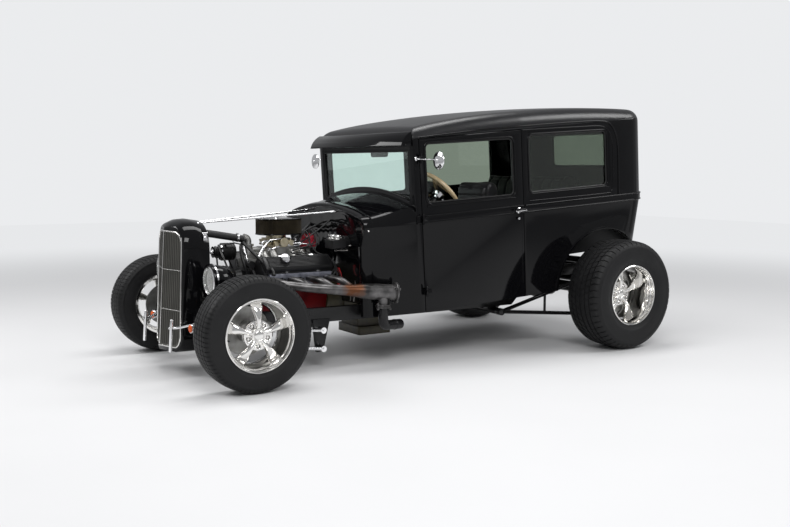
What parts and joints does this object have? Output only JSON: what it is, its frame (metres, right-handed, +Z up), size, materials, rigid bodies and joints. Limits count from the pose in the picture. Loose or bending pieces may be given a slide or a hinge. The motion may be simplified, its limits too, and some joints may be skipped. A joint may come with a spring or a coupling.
{
  "type": "hot rod",
  "caption": "Fenderless hot rod: a closed two-door steel body on a bare frame with an open V8, headers, leaf-sprung front axle and five-spoke wheels.",
  "frame": {"origin": "on the floor, under the middle of the car's length and width", "axes": "+X forward along the car, +Y to the car's left, +Z up"},
  "size_m": [3.545, 1.984, 1.6836],
  "materials": {
    "tyre_rubber": "matt black",
    "polished_alloy": "polished",
    "black_paint": "gloss",
    "black_roof": "satin",
    "frame_black": "gloss",
    "engine_red": "gloss",
    "crackle_black": "satin",
    "cast_alloy": "cast",
    "chrome": "polished",
    "header_coat": "satin",
    "case_olive": "satin",
    "dark_grille": "satin",
    "clear_glass": "clear",
    "lamp_glass": "fluted",
    "amber_lens": "gloss",
    "seat_vinyl": "satin",
    "cap_brown": "gloss",
    "wheel_cream": "gloss",
    "filter_cover": "polished",
    "radiator_black": "satin"
  },
  "bodies": {
    "chassis": {"air_cleaner": "filter_cover", "body_tub": "black_paint", "bright_fittings": "chrome", "cowl": "black_paint", "dash": "black_paint", "distributor": "cap_brown", "engine_block": "engine_red", "fixed_glass": "clear_glass", "floor_pan": "crackle_black", "frame": "frame_black", "front_axle": "frame_black", "front_drive": "cast_alloy", "front_links": "chrome", "grille_insert": "dark_grille", "grille_shell": "black_paint", "headers": "header_coat", "headlamp_lenses": "lamp_glass", "headlamps": "chrome", "intake": "cast_alloy", "radiator": "radiator_black", "rear_axle": "frame_black", "rear_suspension": "frame_black", "roof": "black_roof", "seats": "seat_vinyl", "signal_lamps": "amber_lens", "steering_column": "crackle_black", "transmission": "case_olive", "valve_covers": "crackle_black", "visor": "black_paint", "windscreen_posts": "black_paint"},
    "wheel_front_left": {"tyre_front_left": "tyre_rubber", "rim_front_left": "polished_alloy"},
    "wheel_front_right": {"tyre_front_right": "tyre_rubber", "rim_front_right": "polished_alloy"},
    "wheel_rear_left": {"tyre_rear_left": "tyre_rubber", "rim_rear_left": "polished_alloy"},
    "wheel_rear_right": {"tyre_rear_right": "tyre_rubber", "rim_rear_right": "polished_alloy"},
    "knuckle_left": {"knuckle_left": "cast_alloy"},
    "knuckle_right": {"knuckle_right": "cast_alloy"},
    "tie_rod": {"tie_rod": "chrome"},
    "pitman_arm": {"pitman_arm": "frame_black"},
    "steering_wheel": {"steering_wheel": "wheel_cream"},
    "door_left": {"door_left": "black_paint"},
    "door_right": {"door_right": "black_paint", "door_glass_right": "clear_glass"}
  },
  "joints": [
    {"name": "steer_left", "type": "hinge", "parent": "chassis", "child": "knuckle_left", "pos_m": [1.44749, 0.56, 0.322], "axis": [0, 0, 1], "range_deg": [-28, 28]},
    {"name": "steer_right", "type": "hinge", "parent": "chassis", "child": "knuckle_right", "pos_m": [1.44749, -0.56, 0.322], "axis": [0, 0, 1], "range_deg": [-28, 28]},
    {"name": "tie_rod_pivot", "type": "hinge", "parent": "knuckle_left", "child": "tie_rod", "pos_m": [1.33749, 0.56, 0.232], "axis": [0, 0, 1], "range_deg": [-28, 28]},
    {"name": "pitman_turn", "type": "hinge", "parent": "chassis", "child": "pitman_arm", "pos_m": [1.35749, 0.285, 0.27], "axis": [0, 0, 1], "range_deg": [-28, 28]},
    {"name": "steering_wheel_turn", "type": "hinge", "parent": "chassis", "child": "steering_wheel", "pos_m": [-0.07751, 0.345, 1.052], "axis": [-0.7817, 0, 0.6236], "range_deg": [-448, 448]},
    {"name": "door_left_hinge", "type": "hinge", "parent": "chassis", "child": "door_left", "pos_m": [0.22339, 0.622, 0.9177], "axis": [0.068, 0, 0.9977], "range_deg": [-65, 0]},
    {"name": "door_right_hinge", "type": "hinge", "parent": "chassis", "child": "door_right", "pos_m": [0.22339, -0.622, 0.9177], "axis": [0.068, 0, 0.9977], "range_deg": [0, 65]},
    {"name": "spin_front_left", "type": "hinge", "parent": "knuckle_left", "child": "wheel_front_left", "pos_m": [1.44749, 0.746, 0.325], "axis": [0, 1, 0], "continuous": true},
    {"name": "spin_front_right", "type": "hinge", "parent": "knuckle_right", "child": "wheel_front_right", "pos_m": [1.44749, -0.746, 0.325], "axis": [0, 1, 0], "continuous": true},
    {"name": "spin_rear_left", "type": "hinge", "parent": "chassis", "child": "wheel_rear_left", "pos_m": [-1.28251, 0.843, 0.376], "axis": [0, 1, 0], "continuous": true},
    {"name": "spin_rear_right", "type": "hinge", "parent": "chassis", "child": "wheel_rear_right", "pos_m": [-1.28251, -0.843, 0.376], "axis": [0, 1, 0], "continuous": true}
  ],
  "couplings": [
    {"joint": "steer_right", "follows": "steer_left", "ratio": 1},
    {"joint": "tie_rod_pivot", "follows": "steer_left", "ratio": -1},
    {"joint": "pitman_turn", "follows": "steer_left", "ratio": 1},
    {"joint": "steering_wheel_turn", "follows": "steer_left", "ratio": 16}
  ]
}
